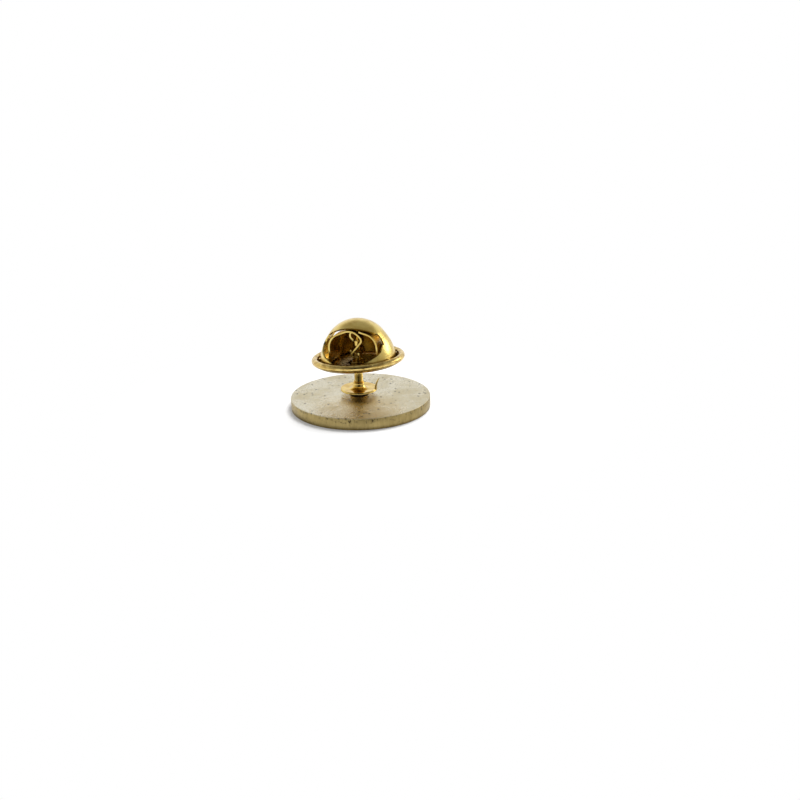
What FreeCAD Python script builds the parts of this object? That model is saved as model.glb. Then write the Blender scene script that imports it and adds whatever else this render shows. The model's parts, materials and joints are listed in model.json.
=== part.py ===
"""Enamel lapel pin, lying on its enamelled front, with a butterfly clutch part-way down its post.

The badge stands on z = 0 with its centre on the Z axis. The post rises along +Z through a spurred
washer and the clutch, and all three are built on the Z axis and then set a little off the badge's
centre. The clutch is built with its floor at z = 0, its wings along X and its windows facing -Y
and +Y, and is then turned, leaned about a point between its jaws, and lifted into place.
"""
import FreeCAD, Part
import math
import os

V = FreeCAD.Vector
Y_AXIS = V(0, 1, 0)
Z_AXIS = V(0, 0, 1)
ORIGIN = V(0, 0, 0)

# Badge: a round die-struck blank, recessed on its front for the enamel
badge_diameter = 18.0
badge_thickness = 1.5
badge_edge_break = 0.1
cell_depth = 0.45
enamel_recess = 0.03
metal_line = 0.3
border_rim = 0.55
border_width = 1.35
centre_cell_radius = 1.0
petal_count = 6

# Post: a headed pin soldered to the back, with grip grooves and a point
post_diameter = 1.1
post_height = 8.0
root_swell = 0.12
root_cover = 0.12
post_offset_x = -0.2
post_offset_y = 0.5
head_diameter = 2.2
head_thickness = 0.42
solder_film = 0.06
solder_spread = 0.22
solder_rise = 0.2
tip_length = 0.8
tip_radius = 0.14
groove_depth = 0.09
groove_width = 0.55
groove_from_tip = 2.275
groove_pitch = 1.45
groove_count = 2

# Washer: a drawn disc with a flared collar and one spur that stops the badge turning on cloth
washer_diameter = 4.8
washer_sheet = 0.25
washer_dish = 0.12
collar_height = 1.0
collar_foot_diameter = 2.5
collar_clearance = 0.03
spur_height = 1.6
spur_width = 0.3
spur_sheet = 0.22
spur_splay = 0.45
spur_bearing = -20.0

# Clutch cup: a pressed dish with a rolled rim
clutch_gap = 4.15
clutch_bearing = -18.0
clutch_lean = 4.1
lean_bearing = 132.5
lean_pivot = 1.3
cup_diameter = 12.0
cup_sheet = 0.25
rim_height = 1.15
rim_roll_radius = 0.42
rim_roll_end = 140.0
rim_roll_facets = 7
flank_angle = 30.0
pip_count = 4
pip_radius = 0.4
pip_height = 0.12
pip_taper = 0.45
pip_circle = 3.4

# Eyelet: the bush through the cup that runs on the post
eyelet_clearance = 0.12
eyelet_wall = 0.22
eyelet_flange = 0.42
eyelet_flange_sheet = 0.15
eyelet_seat = 0.02

# Spring: one bent sheet, an arched crown that widens into two wings with curled jaws inside
spring_sheet = 0.22
dome_height = 5.85
dome_shoulder_drop = 1.95
dome_flare = 1.3
dome_flank_bulge = 0.25
dome_foot_height = 0.55
wing_lip = 0.48
wing_trap = 0.142
hinge_elevation = 29.0
hinge_depth = 0.43
split_gap = 0.02

# Windows of the spring: how far from the crown's centre each part of the edge lies, as a share of
# its distance in front of that centre
window_corner = (2.6, 2.05)
window_top_dip = 1.5
window_side = (3.0, 1.6)
window_waist = (2.3, 0.75)
window_low = (1.55, 0.2)
window_low_bend = (0.9, 0.0)
window_sill = (0.5, -0.1)
window_below = -0.8

# Jaws: the curled inner end of each wing
jaw_width = 3.9
jaw_play = 0.1
tongue_width = 1.1
jaw_root = (0.36, 0.5)
jaw_leg_inset = 1.77
jaw_foot_height = 0.48
jaw_leg_drop = 2.1
jaw_arch_x = 0.1
jaw_arch_drop = 0.98
jaw_elbow_x = 1.35
jaw_elbow_drop = 2.45
jaw_grip_gap = 0.07
jaw_hook_height = 1.19
jaw_hook_reach = 0.5
jaw_hook_dip = 0.13
jaw_hook_rise = 0.66
jaw_slot_reach = 0.95
jaw_plate = (0.25, 1.35)
jaw_bends = [0.22, 0.3, 1.8, 1.7, 0.5, 0.3, 0.2]

# Derived sizes
badge_radius = badge_diameter / 2
post_radius = post_diameter / 2
head_radius = head_diameter / 2
washer_radius = washer_diameter / 2
cup_radius = cup_diameter / 2
border_outer = badge_radius - border_rim
border_inner = border_outer - border_width
field_radius = border_inner - metal_line
head_base = badge_thickness + solder_film
washer_base = head_base + head_thickness
collar_top = washer_base + washer_sheet + collar_height
root_top = collar_top - root_cover
root_radius = post_radius + root_swell
post_tip = badge_thickness + post_height
cup_base = badge_thickness + clutch_gap
eyelet_bore = post_radius + eyelet_clearance
barrel_radius = eyelet_bore + eyelet_wall
rim_lip_radius = cup_radius - rim_roll_radius + rim_roll_radius * math.cos(math.radians(rim_roll_end))
dome_foot_radius = rim_lip_radius + wing_trap - wing_lip
dome_shoulder_radius = dome_foot_radius - dome_flare
dome_shoulder_height = dome_height - dome_shoulder_drop
dome_radius = (dome_shoulder_radius ** 2 + dome_shoulder_drop ** 2) / (2 * dome_shoulder_drop)
dome_centre = dome_height - dome_radius
jaw_leg_reach = dome_foot_radius - jaw_leg_inset


def revolve(outline):
    """Turn a closed (radius, z) outline about the Z axis."""
    face = Part.Face(Part.Wire(outline))
    return face.revolve(ORIGIN, Z_AXIS, 360)


def line(start, end):
    """Edge between two (radius, z) points in the XZ plane."""
    return Part.makeLine(V(start[0], 0, start[1]), V(end[0], 0, end[1]))


def arc(start, middle, end):
    """Arc through three (radius, z) points in the XZ plane."""
    points = [V(p[0], 0, p[1]) for p in (start, middle, end)]
    return Part.Arc(*points).toShape()


def polar(centre, radius, degrees):
    """Point at an angle on a circle in the XZ plane."""
    angle = math.radians(degrees)
    return (centre[0] + radius * math.cos(angle), centre[1] + radius * math.sin(angle))


def chords(centre, radius, start, end, count):
    """Short straight edges that follow an arc between two angles."""
    step = (end - start) / count
    points = [polar(centre, radius, start + index * step) for index in range(count + 1)]
    return [line(points[index], points[index + 1]) for index in range(count)]


def disc(radius, base, height, centre=(0, 0)):
    """Upright cylinder."""
    return Part.makeCylinder(radius, height, V(centre[0], centre[1], base))


def box(low, high):
    """Box between two corners."""
    size = [high[i] - low[i] for i in range(3)]
    return Part.makeBox(size[0], size[1], size[2], V(*low))


# ---------------------------------------------------------------- badge front

def petal(half_line):
    """One pointed petal of the compass-drawn rosette, its outline moved out by half a metal line."""
    reach = field_radius + half_line
    centres = []
    for side in (60, -60):
        angle = math.radians(side)
        centres.append((field_radius * math.cos(angle), field_radius * math.sin(angle)))
    lens = disc(reach, 0, cell_depth, centres[0])
    return lens.common(disc(reach, 0, cell_depth, centres[1]))


def around(shape, count):
    """Copies of a shape turned evenly about the Z axis."""
    copies = []
    for index in range(count):
        copy = shape.copy()
        copy.rotate(ORIGIN, Z_AXIS, index * 360.0 / count)
        copies.append(copy)
    return copies


def cells():
    """The recesses of the front, by the enamel that fills them."""
    half = metal_line / 2
    centre_ring = disc(centre_cell_radius + metal_line, 0, cell_depth)
    inside = disc(field_radius - metal_line, 0, cell_depth)
    petals = []
    for copy in around(petal(-half), petal_count):
        petals.append(copy.common(inside).cut(centre_ring))
    ground = disc(field_radius, 0, cell_depth).cut(centre_ring)
    for copy in around(petal(half), petal_count):
        ground = ground.cut(copy)
    border = disc(border_outer, 0, cell_depth).cut(disc(border_inner, 0, cell_depth))
    return {
        "enamel_centre": disc(centre_cell_radius, 0, cell_depth),
        "enamel_petals": Part.Compound(petals),
        "enamel_ground": Part.Compound(ground.Solids),
        "enamel_border": border,
    }


def badge_body(recesses):
    """The struck blank with its broken edges and the recesses of the front."""
    low = badge_edge_break
    high = badge_thickness - badge_edge_break
    inner = badge_radius - badge_edge_break
    outline = [
        line((0, 0), (inner, 0)),
        line((inner, 0), (badge_radius, low)),
        line((badge_radius, low), (badge_radius, high)),
        line((badge_radius, high), (inner, badge_thickness)),
        line((inner, badge_thickness), (0, badge_thickness)),
        line((0, badge_thickness), (0, 0)),
    ]
    body = revolve(outline)
    for recess in recesses.values():
        for solid in recess.Solids:
            body = body.cut(solid)
    return body


def enamel(recess):
    """The fill of one set of recesses, polished a hair below the metal lines."""
    skin = disc(badge_diameter, 0, enamel_recess)
    return Part.Compound([solid.cut(skin) for solid in recess.Solids])


# ---------------------------------------------------------------- post and washer

def solder_joint():
    """Solder film under the post's head, drawn up its side."""
    foot = head_radius + solder_spread
    top = badge_thickness + solder_rise
    outline = [
        line((0, badge_thickness), (foot, badge_thickness)),
        line((foot, badge_thickness), (head_radius, top)),
        line((head_radius, top), (head_radius, head_base)),
        line((head_radius, head_base), (0, head_base)),
        line((0, head_base), (0, badge_thickness)),
    ]
    return revolve(outline)


def post():
    """Headed pin that swells a little towards its head, with grip grooves and a blunt point."""
    cone_base = post_tip - tip_length
    cap_base = post_tip - tip_radius
    outline = [
        line((0, head_base), (head_radius, head_base)),
        line((head_radius, head_base), (head_radius, washer_base)),
        line((head_radius, washer_base), (root_radius, washer_base)),
        line((root_radius, washer_base), (post_radius, root_top)),
        line((post_radius, root_top), (post_radius, cone_base)),
        line((post_radius, cone_base), (tip_radius, cap_base)),
        line((tip_radius, cap_base), polar((0, cap_base), tip_radius, 45)),
        line(polar((0, cap_base), tip_radius, 45), (0, post_tip)),
        line((0, post_tip), (0, head_base)),
    ]
    pin = revolve(outline)
    for index in range(groove_count):
        pin = pin.cut(groove(post_tip - groove_from_tip - index * groove_pitch))
    return pin


def groove(height):
    """Ring cut from the post at a height, with two sloping sides."""
    low = height - groove_width / 2
    high = height + groove_width / 2
    outer = 2 * post_radius
    bottom = (post_radius - groove_depth, height)
    outline = [
        line((post_radius, low), bottom),
        line(bottom, (post_radius, high)),
        line((post_radius, high), (outer, high)),
        line((outer, high), (outer, low)),
        line((outer, low), (post_radius, low)),
    ]
    return revolve(outline)


def spur_washer():
    """Dished washer drawn up into a flared collar round the post, with its upturned spur."""
    bore = post_radius + collar_clearance
    throat = bore + washer_sheet * 0.5
    floor = washer_base + washer_sheet
    foot = collar_foot_diameter / 2
    bend = (throat + 0.25 * (foot - throat), floor + 0.3 * collar_height)
    rim_low = (washer_radius, washer_base + washer_dish)
    rim_high = (washer_radius - 0.3 * washer_sheet, washer_base + washer_dish + washer_sheet)
    outline = [
        line((foot - washer_sheet, washer_base), (foot + washer_sheet, washer_base)),
        line((foot + washer_sheet, washer_base), rim_low),
        line(rim_low, rim_high),
        line(rim_high, (foot + washer_sheet, floor)),
        line((foot + washer_sheet, floor), (foot, floor)),
        arc((foot, floor), bend, (throat, collar_top)),
        line((throat, collar_top), (bore, collar_top)),
        line((bore, collar_top), (bore, root_top)),
        line((bore, root_top), (bore + root_swell, washer_base + 0.3 * collar_height)),
        line((bore + root_swell, washer_base + 0.3 * collar_height), (foot - washer_sheet, washer_base)),
    ]
    return revolve(outline).fuse(spur()).removeSplitter()


def spur():
    """Thin prong bent up from the washer's edge, leaning outwards and tapered to its end."""
    root = washer_radius - spur_sheet
    base = washer_base + washer_dish
    tip = washer_base + washer_sheet + spur_height
    knee = (washer_radius + 0.15 * spur_splay, base + 0.45 * spur_height)
    end = washer_radius + spur_splay
    outline = [
        line((root, base), (washer_radius, base)),
        arc((washer_radius, base), knee, (end, tip)),
        line((end, tip), (end - 0.5 * spur_sheet, tip)),
        arc((end - 0.5 * spur_sheet, tip), (knee[0] - spur_sheet, knee[1] + 0.1), (root, base)),
    ]
    blade = Part.Face(Part.Wire(outline)).extrude(V(0, spur_width, 0))
    blade.translate(V(0, -spur_width / 2, 0))
    for side in (1, -1):
        blade = blade.cut(spur_taper(side, base, tip))
    blade.rotate(ORIGIN, Z_AXIS, spur_bearing)
    return blade


def spur_taper(side, base, tip):
    """Wedge that narrows the spur on one side towards its end."""
    wide = side * spur_width / 2
    narrow = side * spur_width / 5
    far = side * spur_width
    corners = [V(0, wide, base + washer_sheet), V(0, narrow, tip), V(0, far, tip), V(0, far, base)]
    face = Part.Face(Part.makePolygon(corners + corners[:1]))
    return face.extrude(V(washer_diameter, 0, 0))


# ---------------------------------------------------------------- clutch

def clutch_cup():
    """Pressed dish whose edge climbs a flank and rolls over into a lip, with grip pips below."""
    hole = barrel_radius + eyelet_seat
    centre = (cup_radius - rim_roll_radius, rim_height - rim_roll_radius)
    inner_roll = rim_roll_radius - cup_sheet
    start = flank_angle - 90
    middle = (start + rim_roll_end) / 2
    flank_out = polar(centre, rim_roll_radius, start)
    flank_in = polar(centre, inner_roll, start)
    slope = math.tan(math.radians(flank_angle))
    floor_out = (flank_out[0] - flank_out[1] / slope, 0)
    floor_in = (flank_in[0] - (flank_in[1] - cup_sheet) / slope, cup_sheet)
    lip_out = polar(centre, rim_roll_radius, rim_roll_end)
    lip_in = polar(centre, inner_roll, rim_roll_end)
    fold = polar(centre, inner_roll, middle)
    outline = [line((hole, 0), floor_out), line(floor_out, flank_out)]
    outline += chords(centre, rim_roll_radius, start, rim_roll_end, rim_roll_facets)
    outline += [
        line(lip_out, lip_in),
        line(lip_in, fold),
        line(fold, flank_in),
        line(flank_in, floor_in),
        line(floor_in, (hole, cup_sheet)),
        line((hole, cup_sheet), (hole, 0)),
    ]
    cup = revolve(outline)
    for pip in around(grip_pip(), pip_count):
        cup = cup.fuse(pip)
    return cup


def grip_pip():
    """Low tapered pip pressed down from the cup's floor to bite the cloth."""
    root = V(pip_circle, 0, cup_sheet / 2)
    stem = Part.makeCylinder(pip_radius, cup_sheet / 2, root, -Z_AXIS)
    point = Part.makeCone(pip_radius, pip_radius * pip_taper, pip_height, V(pip_circle, 0, 0), -Z_AXIS)
    return stem.fuse(point)


def clutch_eyelet():
    """Hollow rivet through the cup, flanged above and below its floor."""
    flange_radius = barrel_radius + eyelet_flange
    under = -eyelet_seat
    over = cup_sheet + eyelet_seat
    bottom = under - eyelet_flange_sheet
    top = over + eyelet_flange_sheet
    outline = [
        line((eyelet_bore, bottom), (flange_radius, bottom)),
        line((flange_radius, bottom), (flange_radius, under)),
        line((flange_radius, under), (barrel_radius, under)),
        line((barrel_radius, under), (barrel_radius, over)),
        line((barrel_radius, over), (flange_radius, over)),
        line((flange_radius, over), (flange_radius, top)),
        line((flange_radius, top), (eyelet_bore, top)),
        line((eyelet_bore, top), (eyelet_bore, bottom)),
    ]
    return revolve(outline)


def dome_shell():
    """Thin bell of the spring: a round crown on a flank that is bent out a little."""
    centre = (0, dome_centre)
    lean = math.degrees(math.atan2(dome_shoulder_height - dome_centre, dome_shoulder_radius))
    middle = (90 + lean) / 2
    inner = dome_radius - spring_sheet
    foot = (dome_foot_radius, dome_foot_height)
    foot_in = (dome_foot_radius - spring_sheet, dome_foot_height)
    shoulder = polar(centre, dome_radius, lean)
    shoulder_in = polar(centre, inner, lean)
    outline = [
        arc((0, dome_height), polar(centre, dome_radius, middle), shoulder),
        line(shoulder, flank_middle(shoulder, foot)),
        line(flank_middle(shoulder, foot), foot),
        line(foot, foot_in),
        line(foot_in, flank_middle(shoulder_in, foot_in)),
        line(flank_middle(shoulder_in, foot_in), shoulder_in),
        arc(shoulder_in, polar(centre, inner, middle), (0, dome_height - spring_sheet)),
        line((0, dome_height - spring_sheet), (0, dome_height)),
    ]
    return revolve(outline)


def flank_middle(shoulder, foot):
    """Middle of the bell's flank, bulged out from the straight line between its ends."""
    across = foot[0] - shoulder[0]
    down = shoulder[1] - foot[1]
    share = dome_flank_bulge / math.hypot(across, down)
    return ((shoulder[0] + foot[0]) / 2 + share * down, (shoulder[1] + foot[1]) / 2 + share * across)


def window_outline(scale):
    """One window's edge at a distance in front of the crown's centre, as seen from that centre."""

    def at(point, side=1):
        return V(side * point[0] * scale, -scale, dome_centre + point[1] * scale)

    def half(side):
        sill_end = (window_sill[0], window_below)
        return [
            Part.Arc(at(window_corner, side), at(window_side, side), at(window_waist, side)).toShape(),
            Part.makeLine(at(window_waist, side), at(window_low, side)),
            Part.Arc(at(window_low, side), at(window_low_bend, side), at(window_sill, side)).toShape(),
            Part.makeLine(at(window_sill, side), at(sill_end, side)),
        ]

    top = Part.Arc(at(window_corner, -1), at((0, window_top_dip)), at(window_corner)).toShape()
    sill = Part.makeLine(at((window_sill[0], window_below), -1), at((window_sill[0], window_below)))
    return Part.Wire(Part.__sortEdges__([top, sill] + half(1) + half(-1)))


def windowed_dome():
    """The bell with its front and back windows cut square to the sheet, and the wings' foot lips."""
    lip_low = dome_foot_height
    lip_inner = dome_foot_radius - spring_sheet
    ring = disc(dome_foot_radius + wing_lip, lip_low, spring_sheet)
    ring = ring.cut(disc(lip_inner, lip_low, spring_sheet))
    half = jaw_width / 2 + jaw_play
    ring = ring.cut(box((-cup_radius, -half, 0), (cup_radius, half, dome_height)))
    shell = dome_shell().fuse(ring)
    near = dome_foot_radius / 10
    far = dome_foot_radius + 2 * wing_lip
    cutter = Part.makeLoft([window_outline(near), window_outline(far)], True, True)
    for copy in around(cutter, 2):
        shell = shell.cut(copy)
    return shell


def split_wedge(gap):
    """Everything above the two planes where the crown ends and the wings begin."""
    angle = math.radians(hinge_elevation)
    reach = 2 * cup_diameter
    rise = gap / 2 / math.cos(angle)
    base = dome_centre + rise
    side = (reach * math.cos(angle), base + reach * math.sin(angle))
    corners = [(0, base), side, (side[0], base + reach), (-side[0], base + reach), (-side[0], side[1])]
    points = [V(c[0], -cup_diameter, c[1]) for c in corners]
    face = Part.Face(Part.makePolygon(points + points[:1]))
    return face.extrude(V(0, 2 * cup_diameter, 0))


def spring_crown(shell):
    """The arched middle of the spring."""
    return shell.common(split_wedge(split_gap))


def rounded_path(points, radii):
    """Straight runs in the XZ plane joined by tangent arcs at the inner points."""
    edges = []
    start = V(points[0][0], 0, points[0][1])
    for index in range(1, len(points) - 1):
        corner = V(points[index][0], 0, points[index][1])
        before = (V(points[index - 1][0], 0, points[index - 1][1]) - corner).normalize()
        after = (V(points[index + 1][0], 0, points[index + 1][1]) - corner).normalize()
        half = before.getAngle(after) / 2
        setback = radii[index - 1] / math.tan(half)
        bisector = (before + after).normalize()
        depth = radii[index - 1] / math.sin(half) - radii[index - 1]
        first = corner + before * setback
        last = corner + after * setback
        edges.append(Part.makeLine(start, first))
        edges.append(Part.Arc(first, corner + bisector * depth, last).toShape())
        start = last
    edges.append(Part.makeLine(start, V(points[-1][0], 0, points[-1][1])))
    return Part.Wire(edges)


def strip(path, width, sheet):
    """Bent strip of sheet that follows a path in the XZ plane."""
    first = path.Edges[0]
    begin = first.valueAt(first.FirstParameter)
    along = first.tangentAt(first.FirstParameter)
    across = along.cross(Y_AXIS).normalize() * (sheet / 2)
    side = Y_AXIS * (width / 2)
    corners = [begin + across + side, begin + across - side, begin - across - side, begin - across + side]
    profile = Part.makePolygon(corners + corners[:1])
    return path.makePipeShell([profile], True, False, 1)


def jaw():
    """Curled inner end of the left wing: foot, leg, arch and the hooked tongue beside the post."""
    hook = post_radius + jaw_grip_gap + spring_sheet / 2
    hook_top = jaw_hook_height + jaw_hook_rise
    points = [
        (-dome_foot_radius + jaw_root[0], dome_foot_height + jaw_root[1]),
        (-dome_foot_radius + spring_sheet, jaw_foot_height),
        (-jaw_leg_reach, jaw_foot_height),
        (-jaw_leg_reach, dome_height - jaw_leg_drop),
        (jaw_arch_x, dome_height - jaw_arch_drop),
        (jaw_elbow_x, dome_height - jaw_elbow_drop),
        (-jaw_hook_reach, jaw_hook_height + jaw_hook_dip),
        (hook, jaw_hook_height),
        (hook, hook_top),
    ]
    curl = strip(rounded_path(points, jaw_bends), jaw_width, spring_sheet)
    half = jaw_width / 2
    inner = half - tongue_width
    slot = box((-jaw_slot_reach, -inner, 0), (dome_foot_radius, 2 * half, dome_height))
    plate_low = jaw_hook_height + jaw_plate[0]
    plate_far = half - jaw_plate[1]
    plate = box((post_radius, -2 * half, plate_low), (dome_foot_radius, plate_far, hook_top + spring_sheet))
    return curl.cut(slot.cut(plate))


def spring_wing(shell, turn):
    """One wing of the spring with its jaw: the left one, turned about the post for the right."""
    side = box((-cup_diameter, -cup_diameter, -1), (0, cup_diameter, dome_height + 1))
    flank = shell.common(side).cut(split_wedge(-split_gap))
    wing = flank.fuse(jaw())
    wing.rotate(ORIGIN, Z_AXIS, turn)
    return wing


def on_post(shape):
    """Move a piece built on the Z axis to the post's place on the badge."""
    result = shape.copy()
    result.translate(V(post_offset_x, post_offset_y, 0))
    return result


def placed(shape):
    """Put a clutch piece where it sits on the post: turned, leaned about the jaws and lifted."""
    bearing = math.radians(lean_bearing)
    tilt_axis = V(-math.sin(bearing), math.cos(bearing), 0)
    result = shape.copy()
    result.rotate(ORIGIN, Z_AXIS, clutch_bearing)
    result.rotate(V(0, 0, lean_pivot), tilt_axis, clutch_lean)
    result.translate(V(0, 0, cup_base))
    return on_post(result)


def build():
    """Make every node and write its STEP file."""
    os.makedirs("parts", exist_ok=True)
    recesses = cells()
    shell = windowed_dome()
    nodes = {
        "badge_body": badge_body(recesses),
        "solder_joint": on_post(solder_joint()),
        "post": on_post(post()),
        "spur_washer": on_post(spur_washer()),
        "clutch_eyelet": placed(clutch_eyelet()),
        "clutch_cup": placed(clutch_cup()),
        "spring_crown": placed(spring_crown(shell)),
        "spring_wing_left": placed(spring_wing(shell, 0)),
        "spring_wing_right": placed(spring_wing(shell, 180)),
    }
    for name, recess in recesses.items():
        nodes[name] = enamel(recess)
    for name, shape in nodes.items():
        shape.exportStep("parts/%s.step" % name)
        solids = shape.Solids
        print(name, len(solids), "solids", round(sum(s.Volume for s in solids), 4), "mm3", shape.isValid())


build()
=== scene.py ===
"""Looks of the enamel lapel pin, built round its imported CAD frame.

The pin lies on its enamelled face with a butterfly clutch part-way down its post. The visible
metal is modelled here from sizes in millimetres, placed by the frame's boxes and joints, and given
procedural finishes. Each sub-assembly is a class with its sizes in a dataclass.
"""

import json
import logging
import math
from dataclasses import dataclass
from enum import Enum

import bpy
from mathutils import Matrix, Vector

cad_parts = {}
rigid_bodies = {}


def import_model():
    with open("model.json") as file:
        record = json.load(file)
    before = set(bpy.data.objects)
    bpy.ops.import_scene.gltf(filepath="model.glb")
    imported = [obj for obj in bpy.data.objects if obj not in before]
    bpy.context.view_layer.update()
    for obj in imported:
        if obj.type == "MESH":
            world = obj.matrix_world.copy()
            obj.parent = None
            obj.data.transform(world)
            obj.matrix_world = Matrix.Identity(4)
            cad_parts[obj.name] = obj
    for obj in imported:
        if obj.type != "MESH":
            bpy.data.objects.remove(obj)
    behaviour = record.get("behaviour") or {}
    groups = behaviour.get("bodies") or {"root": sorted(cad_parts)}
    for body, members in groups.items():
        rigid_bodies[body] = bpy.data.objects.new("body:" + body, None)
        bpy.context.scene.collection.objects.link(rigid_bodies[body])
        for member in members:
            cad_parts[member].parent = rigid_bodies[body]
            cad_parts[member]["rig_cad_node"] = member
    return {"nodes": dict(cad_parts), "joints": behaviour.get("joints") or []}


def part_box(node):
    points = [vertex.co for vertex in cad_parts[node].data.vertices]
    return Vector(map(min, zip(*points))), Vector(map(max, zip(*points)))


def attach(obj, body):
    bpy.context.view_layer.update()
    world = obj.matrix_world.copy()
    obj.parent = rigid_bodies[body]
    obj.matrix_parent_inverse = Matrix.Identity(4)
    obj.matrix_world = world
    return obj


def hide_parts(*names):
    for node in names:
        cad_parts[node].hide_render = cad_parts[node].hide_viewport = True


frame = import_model()

LOG = logging.getLogger("enamel_pin")
MM = 0.001
Point = tuple[float, float]
Colour = tuple[float, float, float]


class Body(str, Enum):
    """The CAD bodies that pieces ride on."""

    BADGE = "badge"
    EYELET = "eyelet"
    CLUTCH = "clutch"
    LEFT = "wing_left"
    RIGHT = "wing_right"


class Slot(str, Enum):
    """The record's material slots."""

    STRUCK = "struck_brass"
    POLISHED = "polished_gilt"
    CLUTCH = "clutch_gilt"
    SPRING = "spring_gilt"
    SOLDER = "solder"
    WHITE = "enamel_white"
    RED = "enamel_red"
    BLUE = "enamel_blue"
    GREEN = "enamel_green"


# ---- shader values


class Signal:
    """A shader value between nodes, which can be added to, multiplied and so on."""

    def __init__(self, bench: "Bench", socket: bpy.types.NodeSocket) -> None:
        """Keep a socket.

        Args:
            bench: The material that the socket belongs to.
            socket: The output that carries the value.
        """
        self.bench = bench
        self.socket = socket

    def _math(self, operation: str, first: object, second: object = None) -> "Signal":
        """Join one or two values with a Math node.

        Args:
            operation: The Math node's operation.
            first: A signal or a number.
            second: Another, if the operation takes two.

        Returns:
            The result as a signal.
        """
        return self.bench.node("ShaderNodeMath", 0, {"operation": operation}, {0: first, 1: second})

    def __add__(self, other: object) -> "Signal":
        return self._math("ADD", self, other)

    __radd__ = __add__

    def __sub__(self, other: object) -> "Signal":
        return self._math("SUBTRACT", self, other)

    def __rsub__(self, other: object) -> "Signal":
        return self._math("SUBTRACT", other, self)

    def __mul__(self, other: object) -> "Signal":
        return self._math("MULTIPLY", self, other)

    __rmul__ = __mul__

    def dot(self, direction: tuple[float, float, float]) -> "Signal":
        """How far a vector points along a direction.

        Args:
            direction: The direction, of length 1.

        Returns:
            The share as a signal.
        """
        inputs = {0: self, 1: direction}
        return self.bench.node("ShaderNodeVectorMath", "Value", {"operation": "DOT_PRODUCT"}, inputs)

    def length(self) -> "Signal":
        """The length of a vector."""
        return self.bench.node("ShaderNodeVectorMath", "Value", {"operation": "LENGTH"}, {0: self})

    def beside(self, output: str) -> "Signal":
        """Another output of the node that this value comes from.

        Args:
            output: The output's name.

        Returns:
            That output as a signal.
        """
        return Signal(self.bench, self.socket.node.outputs[output])

    def between(self, low: float, high: float) -> "Signal":
        """Ease from 0 at one value to 1 at another.

        Args:
            low: Where the result is 0.
            high: Where it is 1.

        Returns:
            The eased signal.
        """
        options = {"interpolation_type": "SMOOTHSTEP"}
        return self.bench.node("ShaderNodeMapRange", 0, options, {0: self, 1: low, 2: high})


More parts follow.
